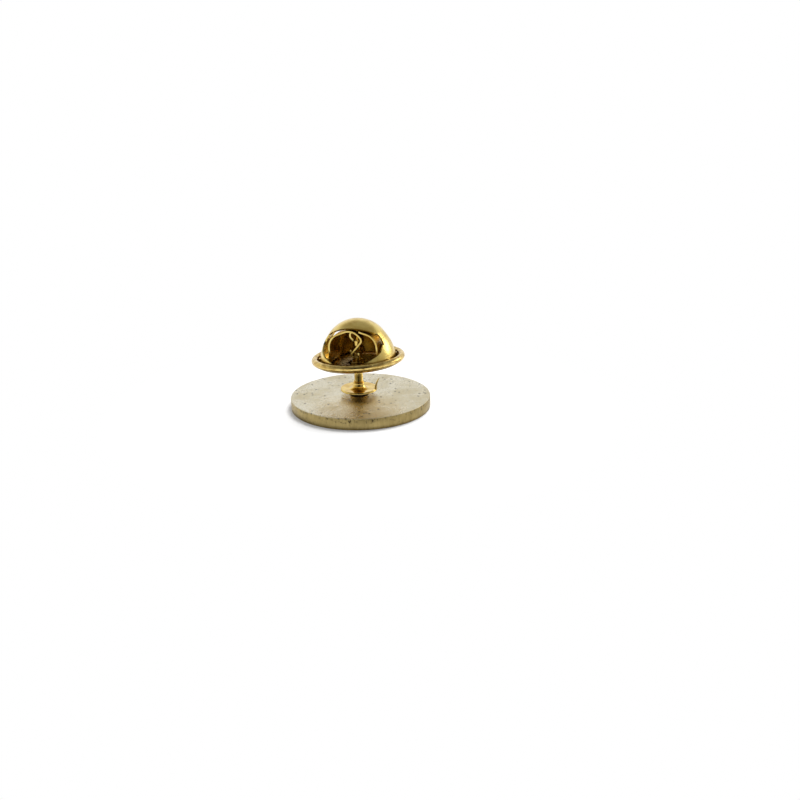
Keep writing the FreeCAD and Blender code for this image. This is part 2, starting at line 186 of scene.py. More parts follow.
class Bench:
    """A material or world under construction: it makes nodes and links signals to them."""

    def __init__(self, owner: bpy.types.Material | bpy.types.World) -> None:
        """Start with no nodes.

        Args:
            owner: The new material or world.
        """
        self.owner = owner
        owner.use_nodes = True
        self.tree = owner.node_tree
        self.tree.nodes.clear()

    def node(self, kind: str, output: int | str, options: dict, inputs: dict) -> Signal:
        """Make any node, set its options and fill or link its inputs.

        Args:
            kind: The node's type.
            output: The output to return, by index or name.
            options: Attributes to set on the node.
            inputs: Signals, numbers, colours or None by input index or name.

        Returns:
            The chosen output as a signal.
        """
        made = self.tree.nodes.new(kind)
        for name, value in options.items():
            setattr(made, name, value)
        for key, value in inputs.items():
            if isinstance(value, Signal):
                self.tree.links.new(value.socket, made.inputs[key])
            elif value is not None:
                made.inputs[key].default_value = value
        return Signal(self, made.outputs[output])

    def place(self, stretch: tuple[float, float, float] = (1, 1, 1)) -> Signal:
        """The object's own coordinates in millimetres.

        Args:
            stretch: Scale along each axis, below 1 to draw a pattern out.

        Returns:
            A vector signal.
        """
        source = self.node("ShaderNodeTexCoord", "Object", {}, {})
        scale = tuple(part / MM for part in stretch)
        return self.node("ShaderNodeVectorMath", 0, {"operation": "MULTIPLY"}, {0: source, 1: scale})

    def noise(self, where: Signal, scale: float, detail: float = 2, rough: float = 0.5) -> Signal:
        """Soft noise about 0.5.

        Args:
            where: The coordinates.
            scale: Features per millimetre.
            detail: Octaves.
            rough: Weight of the finer octaves.

        Returns:
            The noise as a signal.
        """
        inputs = {"Vector": where, "Scale": scale, "Detail": detail, "Roughness": rough}
        return self.node("ShaderNodeTexNoise", 0, {}, inputs)

    def specks(self, where: Signal, scale: float, size: float) -> Signal:
        """Scattered round specks: 1 in a speck and 0 outside.

        Args:
            where: The coordinates.
            scale: Cells per millimetre.
            size: A speck's radius as a share of its cell.

        Returns:
            The specks as a signal.
        """
        inputs = {"Vector": where, "Scale": scale, "Randomness": 1.0}
        cells = self.node("ShaderNodeTexVoronoi", "Distance", {}, inputs)
        return cells.between(size, size * 0.4)

    def blend(self, share: Signal, first: Colour | Signal, second: Colour | Signal) -> Signal:
        """Mix two colours.

        Args:
            share: How much of the second.
            first: The first colour.
            second: The second colour.

        Returns:
            The mixed colour.
        """
        ends = [(*end, 1.0) if isinstance(end, tuple) else end for end in (first, second)]
        options = {"data_type": "RGBA", "clamp_factor": True}
        return self.node("ShaderNodeMix", 2, options, {0: share, 6: ends[0], 7: ends[1]})

    def mix(self, share: Signal, first: Signal, second: Signal) -> Signal:
        """Mix two shaders.

        Args:
            share: How much of the second.
            first: The first shader.
            second: The second shader.

        Returns:
            The mixed shader.
        """
        return self.node("ShaderNodeMixShader", 0, {}, {0: share, 1: first, 2: second})

    def bump(self, height: Signal, depth: float) -> Signal:
        """A normal from a height.

        Args:
            height: Height, from 0 to 1.
            depth: What 1 stands for, in millimetres.

        Returns:
            The normal as a signal.
        """
        inputs = {"Strength": 1.0, "Distance": depth * MM, "Height": height}
        return self.node("ShaderNodeBump", 0, {}, inputs)

    def surface(self, linked: dict, fixed: dict) -> bpy.types.Material:
        """Finish the material with one Principled shader.

        Args:
            linked: Signals by input name.
            fixed: Constants by input name.

        Returns:
            The material.
        """
        return self.finish(self.node("ShaderNodeBsdfPrincipled", 0, {}, {**fixed, **linked}))

    def finish(self, shader: Signal) -> bpy.types.Material | bpy.types.World:
        """Lead the last shader to the output.

        Args:
            shader: The shader.

        Returns:
            The finished material or world.
        """
        kind = "World" if isinstance(self.owner, bpy.types.World) else "Material"
        output = self.tree.nodes.new(f"ShaderNodeOutput{kind}")
        self.tree.links.new(shader.socket, output.inputs[0])
        return self.owner


# ---- finishes


@dataclass(frozen=True)
class Metal:
    """A plated or bare metal: two tones, a gloss that wanders, grain, pits and streaks."""

    name: str
    tone: Colour
    shade: Colour
    rough: tuple[float, float]
    patch: float = 0.8
    grain: float = 14.0
    grain_depth: float = 0.004
    pit_size: float = 0.0
    pit_scale: float = 3.0
    streak: tuple[float, float, float] = (1, 1, 1)
    metallic: float = 1.0

    def make(self) -> bpy.types.Material:
        """Build the material.

        Returns:
            The finished material.
        """
        bench = Bench(bpy.data.materials.new(self.name))
        where = bench.place(self.streak)
        patches = bench.noise(where, self.patch, 3).between(0.35, 0.68)
        grain = bench.noise(bench.place(), self.grain, 4, 0.6)
        colour = bench.blend(patches, self.tone, self.shade)
        gloss = self.rough[0] + (self.rough[1] - self.rough[0]) * (patches * 0.6 + grain * 0.4)
        height = grain
        if self.pit_size > 0:
            pits = bench.specks(bench.place(), self.pit_scale, self.pit_size)
            colour = bench.blend(pits * 0.6, colour, (0.12, 0.09, 0.05))
            height = grain - pits * 2
        linked = {"Base Color": colour, "Roughness": gloss, "Normal": bench.bump(height, self.grain_depth)}
        return bench.surface(linked, {"Metallic": self.metallic})


@dataclass(frozen=True)
class Struck:
    """The blank's plating: a pale blasted back over an olive, streaked and nicked edge, darkened towards its foot
    by painted shade.
    """

    name: str
    face: Colour
    face_shade: Colour
    edge: Colour
    edge_shade: Colour
    pit: Colour
    back: float

    def make(self) -> bpy.types.Material:
        """Build the material.

        Returns:
            The finished material.
        """
        bench = Bench(bpy.data.materials.new(self.name))
        here = bench.place()
        height = here.dot((0, 0, 1))
        flat = height.between(self.back - 0.07, self.back - 0.02)
        peel = bench.noise(here, 2.6, 3, 0.6)
        grain = bench.noise(here, 9.0, 3, 0.6)
        streak = bench.noise(bench.place((1, 1, 0.2)), 5.0, 3, 0.6)
        cloud = bench.noise(here, 0.35, 3).between(0.35, 0.7)
        face = bench.blend(cloud * 0.6 + peel.between(0.45, 0.7) * 0.4, self.face, self.face_shade)
        # Streaks and clouds are the edge's own tone; the darkening towards the foot (height below 0.5 mm) is
        # painted shade where the blank meets the floor.
        streaks_and_foot_shade = streak.between(0.3, 0.8) * 0.45 + cloud * 0.35 + height.between(0.5, 0.1) * 0.5
        edge = bench.blend(streaks_and_foot_shade, self.edge, self.edge_shade)
        pits = bench.specks(here, 1.15, 0.22) + bench.specks(here, 2.3, 0.17) * 0.8
        nicks = bench.noise(bench.place((1, 1, 0.8)), 3.2, 2, 0.7).between(0.58, 0.66)
        nicks = nicks * height.between(self.back - 0.75, self.back - 0.45) * (1 - flat)
        marks = pits * (0.35 + 0.65 * flat) + nicks
        colour = bench.blend(marks * 0.9, bench.blend(flat, edge, face), self.pit)
        rough = 0.2 + 0.1 * grain + 0.06 * cloud + 0.12 * (1 - flat)
        relief = (peel * 0.9 + grain * 0.4) * (0.3 + 0.7 * flat) - marks * 0.6
        linked = {"Base Color": colour, "Roughness": rough, "Normal": bench.bump(relief, 0.06)}
        return bench.surface(linked, {"Metallic": 1.0})


@dataclass(frozen=True)
class Enamel:
    """Polished hard enamel: a clouded colour with tiny bubbles under a clear gloss."""

    name: str
    tone: Colour
    shade: Colour

    def make(self) -> bpy.types.Material:
        """Build the material.

        Returns:
            The finished material.
        """
        bench = Bench(bpy.data.materials.new(self.name))
        cloud = bench.noise(bench.place(), 0.9, 3).between(0.3, 0.75)
        bubbles = bench.specks(bench.place(), 4.0, 0.16)
        colour = bench.blend(bubbles * 0.35, bench.blend(cloud, self.tone, self.shade), (0.75, 0.75, 0.72))
        gloss = 0.06 + 0.06 * cloud + 0.25 * bubbles
        height = bench.noise(bench.place(), 1.4, 2) - bubbles * 0.5
        linked = {"Base Color": colour, "Roughness": gloss, "Normal": bench.bump(height, 0.003)}
        return bench.surface(linked, {"Coat Weight": 0.6, "Coat Roughness": 0.03})


FINISHES = {
    Slot.STRUCK: Struck("struck brass", (0.78, 0.73, 0.57), (0.62, 0.52, 0.28), (0.44, 0.34, 0.14),
                        (0.22, 0.16, 0.055), (0.05, 0.035, 0.02), 1.5),
    Slot.POLISHED: Metal("polished gilt", (0.80, 0.59, 0.18), (0.64, 0.42, 0.10), (0.04, 0.12),
                         1.2, 5.0, 0.0015, 0.1, 2.0),
    Slot.CLUTCH: Metal("clutch gilt", (0.76, 0.56, 0.19), (0.48, 0.31, 0.08), (0.12, 0.28),
                       1.7, 3.2, 0.03, 0.12, 1.6),
    Slot.SPRING: Metal("spring gilt", (0.80, 0.61, 0.19), (0.64, 0.45, 0.11), (0.14, 0.28),
                       0.7, 10.0, 0.010, 0.1, 1.8),
    # The solder's near-black tones are painted shade: they stand for the shadow under the washer, darker than
    # bare solder.
    Slot.SOLDER: Metal("solder", (0.16, 0.13, 0.09), (0.05, 0.04, 0.03), (0.4, 0.7),
                       2.5, 9.0, 0.01, 0.25, 3.0, (1, 1, 1), 0.7),
    Slot.WHITE: Enamel("white enamel", (0.86, 0.84, 0.78), (0.76, 0.74, 0.68)),
    Slot.RED: Enamel("red enamel", (0.52, 0.03, 0.04), (0.36, 0.02, 0.03)),
    Slot.BLUE: Enamel("blue enamel", (0.03, 0.08, 0.30), (0.02, 0.05, 0.20)),
    Slot.GREEN: Enamel("green enamel", (0.02, 0.20, 0.14), (0.01, 0.13, 0.09)),
}


class Palette:
    """The finishes as materials, made once each."""

    def __init__(self) -> None:
        """Build every finish."""
        self.materials = {slot: finish.make() for slot, finish in FINISHES.items()}

    def dress(self, piece: bpy.types.Object, slot: Slot) -> None:
        """Give a piece the finish of a slot.

        Args:
            piece: The object.
            slot: The record's material slot.
        """
        piece.data.materials.clear()
        piece.data.materials.append(self.materials[slot])
        "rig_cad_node" not in piece


# ---- modelling


def arc(centre: Point, radius: float, start: float, end: float, steps: int) -> list[Point]:
    """Points along an arc in the profile plane.

    Args:
        centre: The arc's centre.
        radius: Its radius.
        start: The first angle in degrees.
        end: The last angle in degrees.
        steps: The number of chords.

    Returns:
        The points, both ends included.
    """
    points = []
    for index in range(steps + 1):
        angle = math.radians(start + (end - start) * index / steps)
        points.append((centre[0] + radius * math.cos(angle), centre[1] + radius * math.sin(angle)))
    return points


def through(first: Point, middle: Point, last: Point, steps: int) -> list[Point]:
    """Points along the arc through three points.

    Args:
        first: The arc's start.
        middle: A point on it.
        last: Its end.
        steps: The number of chords.

    Returns:
        The points, both ends included.
    """
    (ax, ay), (bx, by), (cx, cy) = first, middle, last
    ux, uy, vx, vy = bx - ax, by - ay, cx - ax, cy - ay
    double = 2 * (ux * vy - uy * vx)
    x = ax + (vy * (ux * ux + uy * uy) - uy * (vx * vx + vy * vy)) / double
    y = ay + (ux * (vx * vx + vy * vy) - vx * (ux * ux + uy * uy)) / double
    start = math.degrees(math.atan2(ay - y, ax - x))
    end = math.degrees(math.atan2(cy - y, cx - x))
    turn = (end - start + 180) % 360 - 180
    return arc((x, y), math.hypot(ax - x, ay - y), start, start + turn, steps)


def rounded(points: list[Point], radii: list[float], steps: int) -> list[Point]:
    """Straight runs joined by tangent arcs at the inner points.

    Args:
        points: The corners of the runs.
        radii: The radius at each inner corner.
        steps: The number of chords in each arc.

    Returns:
        The points of the whole path.
    """
    path = [points[0]]
    for index, radius in enumerate(radii, start=1):
        corner = Vector(points[index])
        before = (Vector(points[index - 1]) - corner).normalized()
        after = (Vector(points[index + 1]) - corner).normalized()
        half = before.angle(after) / 2
        first = corner + before * (radius / math.tan(half))
        last = corner + after * (radius / math.tan(half))
        middle = corner + (before + after).normalized() * (radius / math.sin(half) - radius)
        path += through(tuple(first), tuple(middle), tuple(last), steps)
    return path + [points[-1]]


def deselect() -> None:
    """Leave object mode with nothing selected."""
    bpy.ops.object.select_all(action="DESELECT")


def activate(piece: bpy.types.Object) -> None:
    """Select one object and make it active.

    Args:
        piece: The object.
    """
    deselect()
    piece.select_set(True)
    bpy.context.view_layer.objects.active = piece


def draw(name: str, points: list[tuple[float, float, float]], closed: bool) -> bpy.types.Object:
    """Draw a chain of edges by extruding one vertex from point to point.

    Args:
        name: The new object's name.
        points: Where the chain goes, in millimetres.
        closed: Whether it returns to its start.

    Returns:
        The object, in edit mode with everything selected.
    """
    deselect()
    bpy.ops.mesh.primitive_plane_add(size=MM)
    piece = bpy.context.object
    piece.name = name
    bpy.ops.object.mode_set(mode="EDIT")
    bpy.ops.mesh.select_mode(type="VERT")
    bpy.ops.mesh.select_all(action="SELECT")
    bpy.ops.mesh.merge(type="CENTER")
    here = Vector((0, 0, 0))
    for index, point in enumerate(points):
        there = Vector(point) * MM
        step = {"value": there - here}
        if index == 0:
            bpy.ops.transform.translate(**step)
        else:
            bpy.ops.mesh.extrude_vertices_move(TRANSFORM_OT_translate=step)
        here = there
    bpy.ops.mesh.select_all(action="SELECT")
    if closed:
        bpy.ops.mesh.edge_face_add()
        bpy.ops.mesh.delete(type="ONLY_FACE")
        bpy.ops.mesh.select_all(action="SELECT")
    return piece


def tidy(piece: bpy.types.Object, gap: float = 0.0005) -> bpy.types.Object:
    """Merge doubled vertices, turn the normals outwards and leave edit mode.

    Args:
        piece: The object in edit mode.
        gap: Vertices nearer than this many millimetres are merged.

    Returns:
        The object.
    """
    bpy.ops.mesh.select_all(action="SELECT")
    bpy.ops.mesh.remove_doubles(threshold=gap * MM)
    bpy.ops.mesh.normals_make_consistent(inside=False)
    bpy.ops.object.mode_set(mode="OBJECT")
    return piece


def lathe(name: str, profile: list[Point], closed: bool = True, steps: int = 160) -> bpy.types.Object:
    """Turn a (radius, height) profile about the Z axis.

    Args:
        name: The new object's name.
        profile: The outline in millimetres.
        closed: Whether the outline closes on itself.
        steps: Facets round the axis.

    Returns:
        The turned object.
    """
    piece = draw(name, [(p[0], 0, p[1]) for p in profile], closed)
    bpy.ops.mesh.spin(steps=steps, angle=2 * math.pi, center=(0, 0, 0), axis=(0, 0, 1))
    return tidy(piece)


def slab(name: str, low: tuple, high: tuple) -> bpy.types.Object:
    """A box between two corners, for cutting.

    Args:
        name: The new object's name.
        low: Its lowest corner in millimetres.
        high: Its highest corner.

    Returns:
        The box.
    """
    deselect()
    middle = [(low[i] + high[i]) / 2 * MM for i in range(3)]
    bpy.ops.mesh.primitive_cube_add(size=1, location=middle)
    piece = bpy.context.object
    piece.name = name
    piece.scale = [(high[i] - low[i]) * MM for i in range(3)]
    bpy.ops.object.transform_apply(location=True, rotation=True, scale=True)
    return piece


def apply(piece: bpy.types.Object, kind: str, **settings: object) -> bpy.types.Object:
    """Add a modifier, set it and apply it.

    Args:
        piece: The object.
        kind: The modifier's type.
        settings: Its attributes.

    Returns:
        The object.
    """
    activate(piece)
    modifier = piece.modifiers.new(kind.lower(), kind)
    for name, value in settings.items():
        setattr(modifier, name, value)
    bpy.ops.object.modifier_apply(modifier=modifier.name)
    return piece


def combine(piece: bpy.types.Object, tool: bpy.types.Object, operation: str) -> bpy.types.Object:
    """Cut, join or intersect a piece with a tool, which is then thrown away.

    Args:
        piece: The object to change.
        tool: The other object.
        operation: DIFFERENCE, UNION or INTERSECT.

    Returns:
        The changed object.
    """
    apply(piece, "BOOLEAN", operation=operation, object=tool, solver="EXACT")
    bpy.data.objects.remove(tool)
    return piece


def smooth(piece: bpy.types.Object, degrees: float = 35) -> bpy.types.Object:
    """Shade a piece smooth except over sharp edges.

    Args:
        piece: The object.
        degrees: Edges sharper than this stay sharp.

    Returns:
        The object.
    """
    activate(piece)
    bpy.ops.object.shade_smooth_by_angle(angle=math.radians(degrees))
    return apply(piece, "WEIGHTED_NORMAL", keep_sharp=True, weight=80)


def soften(piece: bpy.types.Object, width: float, degrees: float = 30) -> bpy.types.Object:
    """Round the sharp edges of a piece a little.

    Args:
        piece: The object.
        width: The width of the rounding in millimetres.
        degrees: Only edges sharper than this are rounded.

    Returns:
        The object.
    """
    options = {"width": width * MM, "segments": 3, "limit_method": "ANGLE"}
    return apply(piece, "BEVEL", angle_limit=math.radians(degrees), **options)


def copy_node(name: str, node: str) -> bpy.types.Object:
    """A copy of a CAD node with its loose triangles joined up.

    Args:
        name: The copy's name.
        node: The CAD node.

    Returns:
        The copy.
    """
    source = frame["nodes"][node]
    piece = bpy.data.objects.new(name, source.data.copy())
    bpy.context.scene.collection.objects.link(piece)
    activate(piece)
    bpy.ops.object.mode_set(mode="EDIT")
    tidy(piece, 0.002)
    return piece


def put(piece: bpy.types.Object, place: Matrix) -> bpy.types.Object:
    """Move a finished piece and fix the move in its mesh.

    Args:
        piece: The object.
        place: Where it goes.

    Returns:
        The object.
    """
    activate(piece)
    piece.matrix_world = place
    bpy.ops.object.transform_apply(location=True, rotation=True, scale=True)
    return piece


# ---- badge


@dataclass(frozen=True)
class BadgeSize:
    """Sizes of the struck blank, in millimetres."""

    edge: float = 0.1
    cell: float = 0.45
    skin: float = 0.05


class Badge:
    """The struck blank and the enamel in its front."""

    ENAMELS = {
        "enamel_centre": Slot.WHITE,
        "enamel_petals": Slot.RED,
        "enamel_ground": Slot.BLUE,
        "enamel_border": Slot.GREEN,
    }

    def __init__(self, size: BadgeSize, palette: Palette) -> None:
        """Keep the sizes and finishes.

        Args:
            size: The badge's sizes.
            palette: The finishes.
        """
        self.size = size
        self.palette = palette

    def build(self) -> list[bpy.types.Object]:
        """Turn the blank, cut the cells and dress the enamel.

        Returns:
            The new pieces.
        """
        low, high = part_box("badge_body")
        radius, top = high.x / MM, high.z / MM
        blank = lathe("badge_blank", [(0, 0), (radius, 0), (radius, top), (0, top)], False, 256)
        soften(blank, self.size.edge, 60)
        for node, slot in self.ENAMELS.items():
            combine(blank, self.cutter(node), "DIFFERENCE")
            self.palette.dress(frame["nodes"][node], slot)
        smooth(blank)
        self.palette.dress(blank, Slot.STRUCK)
        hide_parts("badge_body")
        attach(blank, Body.BADGE.value)
        return [blank]

    def cutter(self, node: str) -> bpy.types.Object:
        """The enamel of one colour, drawn out through the front to cut its cells.

        Args:
            node: The enamel's CAD node.

        Returns:
            The cutting tool.
        """
        low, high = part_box(node)
        tool = copy_node("cell", node)
        grow = (high.z + self.size.skin * MM) / (high.z - low.z)
        lift = Matrix.Translation((0, 0, high.z * (1 - grow)))
        return put(tool, lift @ Matrix.Diagonal((1, 1, grow, 1)))


# ---- post and washer


@dataclass(frozen=True)
class PostSize:
    """Sizes of the post and its solder, in millimetres."""

    radius: float = 0.55
    head: float = 1.1
    head_height: float = 0.42
    root: float = 0.67
    root_height: float = 1.13
    cone: float = 0.8
    tip: float = 0.14
    groove_depth: float = 0.09
    groove_width: float = 0.55
    groove_floor: float = 0.3
    grooves: tuple[float, float] = (3.725, 2.275)
    guard: float = 0.12
    fillet: float = 0.22


@dataclass(frozen=True)
class WasherSize:
    """Sizes of the spurred washer, in millimetres."""

    radius: float = 2.4
    sheet: float = 0.25
    dish: float = 0.12
    collar: float = 1.0
    foot: float = 1.25
    bore: float = 0.58
    spur_width: float = 0.3
    spur_sheet: float = 0.2
    spur_height: float = 1.6
    spur_splay: float = 0.45
    spur_bearing: float = -20.0


class PostGroup:
    """The post, the solder at its foot and the spurred washer round it."""

    def __init__(self, post: PostSize, washer: WasherSize, palette: Palette) -> None:
        """Keep the sizes and finishes, and find the post's axis.

        Args:
            post: The post's sizes.
            washer: The washer's sizes.
            palette: The finishes.
        """
        self.post = post
        self.washer = washer
        self.palette = palette
        low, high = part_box("post")
        self.axis = Matrix.Translation(((low.x + high.x) / 2, (low.y + high.y) / 2, 0))
        self.foot = low.z / MM
        self.tip = high.z / MM
        self.seat = self.foot + post.head_height

    def build(self) -> list[bpy.types.Object]:
        """Make the three pieces.

        Returns:
            The new pieces.
        """
        made = {
            "post": (self.pin(), Slot.POLISHED),
            "solder_joint": (self.solder(), Slot.SOLDER),
            "spur_washer": (self.spurred_washer(), Slot.POLISHED),
        }
        for node, (piece, slot) in made.items():
            put(piece, self.axis)
            self.palette.dress(piece, slot)
            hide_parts(node)
            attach(piece, Body.BADGE.value)
        return [piece for piece, _ in made.values()]

    def pin(self) -> bpy.types.Object:
        """The headed post with its grooves and point.

        Returns:
            The post.
        """
        size = self.post
        profile = [(0, self.foot), (size.head, self.foot), (size.head, self.seat)]
        waist = self.seat + size.root_height
        profile += [(size.root, self.seat), (size.radius, waist), (size.radius, waist + size.guard)]
        inner = size.radius - size.groove_depth
        for drop in size.grooves:
            middle = self.tip - drop
            half, floor = size.groove_width / 2, size.groove_floor / 2
            profile += [(size.radius, middle - half - size.guard), (size.radius, middle - half)]
            profile += [(inner, middle - floor), (inner, middle + floor)]
            profile += [(size.radius, middle + half), (size.radius, middle + half + size.guard)]
        profile.append((size.radius, self.tip - size.cone))
        profile += arc((0, self.tip - size.tip), size.tip, 25, 90, 6)
        piece = lathe("headed_post", profile, False, 96)
        return smooth(soften(piece, 0.04, 25))

    def solder(self) -> bpy.types.Object:
        """The film of solder under the head and its hollow fillet.

        Returns:
            The solder.
        """
        low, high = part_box("solder_joint")
        base, top = low.z / MM, high.z / MM
        edge = self.post.head + self.post.fillet
        sag = (self.post.head + self.post.fillet * 0.35, base + (top - base) * 0.3)
        profile = [(0, base)] + through((edge, base), sag, (self.post.head + 0.005, top), 8)
        profile += [(self.post.head + 0.005, self.foot), (0, self.foot)]
        return smooth(lathe("solder_fillet", profile, False, 96))

    def spurred_washer(self) -> bpy.types.Object:
        """The dished washer with its flared collar and spur.

        Returns:
            The washer.
        """
        size = self.washer
        floor = self.seat + size.sheet
        top = floor + size.collar
        throat = size.bore + size.sheet * 0.5
        bend = (throat + 0.25 * (size.foot - throat), floor + 0.3 * size.collar)
        edge = self.seat + size.dish
        profile = [(size.foot - size.sheet, self.seat), (size.foot + size.sheet, self.seat)]
        profile += [(size.radius, edge), (size.radius - 0.06, edge + size.sheet)]
        profile += [(size.foot + size.sheet, floor)]
        profile += through((size.foot, floor), bend, (throat, top), 14)
        profile += [(size.bore, top), (size.bore, top - 0.12), (size.bore + 0.12, self.seat + 0.3)]
        piece = soften(lathe("collared_washer", profile, True, 128), 0.04, 28)
        return smooth(combine(piece, self.spur(), "UNION"))

    def spur(self) -> bpy.types.Object:
        """The prong bent up from the washer's edge.

        Returns:
            The spur.
        """
        size = self.washer
        base = self.seat + size.dish
        tip = self.seat + size.sheet + size.spur_height
        knee = (size.radius + 0.15 * size.spur_splay, base + 0.45 * size.spur_height)
        end = size.radius + size.spur_splay
        outer = through((size.radius, base), knee, (end, tip), 10)
        inner = through((end - 0.5 * size.spur_sheet, tip), (knee[0] - size.spur_sheet, knee[1] + 0.1),
                        (size.radius - size.spur_sheet, base), 10)
        piece = draw("spur", [(p[0], -size.spur_width / 2, p[1]) for p in outer + inner], True)
        bpy.ops.mesh.edge_face_add()
        bpy.ops.mesh.extrude_region_move(TRANSFORM_OT_translate={"value": (0, size.spur_width * MM, 0)})
        tidy(piece)
        for side in (1, -1):
            lean = Vector((0, side, 0.3 * size.spur_width / size.spur_height))
            slice_off(piece, (0, side * size.spur_width / 2, base + size.sheet), lean)
        soften(piece, 0.03, 50)
        return put(piece, Matrix.Rotation(math.radians(size.spur_bearing), 4, "Z"))


def slice_off(piece: bpy.types.Object, point: tuple, away: Vector) -> bpy.types.Object:
    """Cut a piece with a plane, close the cut and drop what lies beyond it.

    Args:
        piece: The object.
        point: A point of the plane in millimetres.
        away: The plane's normal, towards what is dropped.

    Returns:
        The object.
    """
    activate(piece)
    bpy.ops.object.mode_set(mode="EDIT")
    bpy.ops.mesh.select_all(action="SELECT")
    place = [part * MM for part in point]
    bpy.ops.mesh.bisect(plane_co=place, plane_no=away, use_fill=True, clear_outer=True, threshold=1e-8)
    return tidy(piece)


# ---- clutch


@dataclass(frozen=True)
class CupSize:
    """Sizes of the pressed cup and its eyelet, in millimetres."""

    radius: float = 6.0
    sheet: float = 0.25
    rim: float = 1.15
    roll: float = 0.42
    roll_end: float = 140.0
    flank: float = 30.0
    hole: float = 0.91
    pips: int = 4
    pip: float = 0.4
    pip_height: float = 0.12
    pip_circle: float = 3.4
    bore: float = 0.67
    barrel: float = 0.89
    flange: float = 0.42
    flange_sheet: float = 0.15
    seat: float = 0.02


@dataclass(frozen=True)
class SpringSize:
    """Sizes of the windowed bell spring and its jaws, in millimetres."""

    sheet: float = 0.22
    height: float = 5.85
    drop: float = 1.95
    flare: float = 1.3
    bulge: float = 0.25
    foot: float = 4.9203
    foot_height: float = 0.55
    lip: float = 0.48
    hinge: float = 29.0
    gap: float = 0.02
    jaw: float = 3.9
    play: float = 0.1
    tongue: float = 1.1
    corner: Point = (2.6, 2.05)
    dip: float = 1.5
    side: Point = (3.0, 1.6)
    waist: Point = (2.3, 0.75)
    low: Point = (1.55, 0.2)
    bend: Point = (0.9, 0.0)
    sill: Point = (0.5, -0.1)
    below: float = -0.8
    leaf_inset: float = 0.6
    leaf_bulge: float = 0.15
    leaf_side: float = 2.05
    leaf_lap: float = 1.06
    crease: float = 0.09
    jaw_edge: float = 0.05

    @property
    def shoulder(self) -> Point:
        """Where the crown's arc meets the flank."""
        return (self.foot - self.flare, self.height - self.drop)

    @property
    def crown(self) -> float:
        """Radius of the crown's arc."""
        return (self.shoulder[0] ** 2 + self.drop ** 2) / (2 * self.drop)

    @property
    def centre(self) -> float:
        """Height of the crown's centre."""
        return self.height - self.crown


@dataclass(frozen=True)
class JawSize:
    """The path of one curled jaw, in millimetres."""

    inset: float = 1.77
    foot_height: float = 0.48
    leg_drop: float = 2.1
    arch: Point = (0.1, 0.98)
    elbow: Point = (1.35, 2.45)
    hook: Point = (0.73, 1.19)
    hook_reach: float = 0.5
    hook_dip: float = 0.13
    hook_rise: float = 0.66
    slot: float = 0.95
    plate: Point = (0.25, 1.35)
    bends: tuple[float, ...] = (0.22, 0.3, 1.8, 1.7, 0.5, 0.3, 0.2)


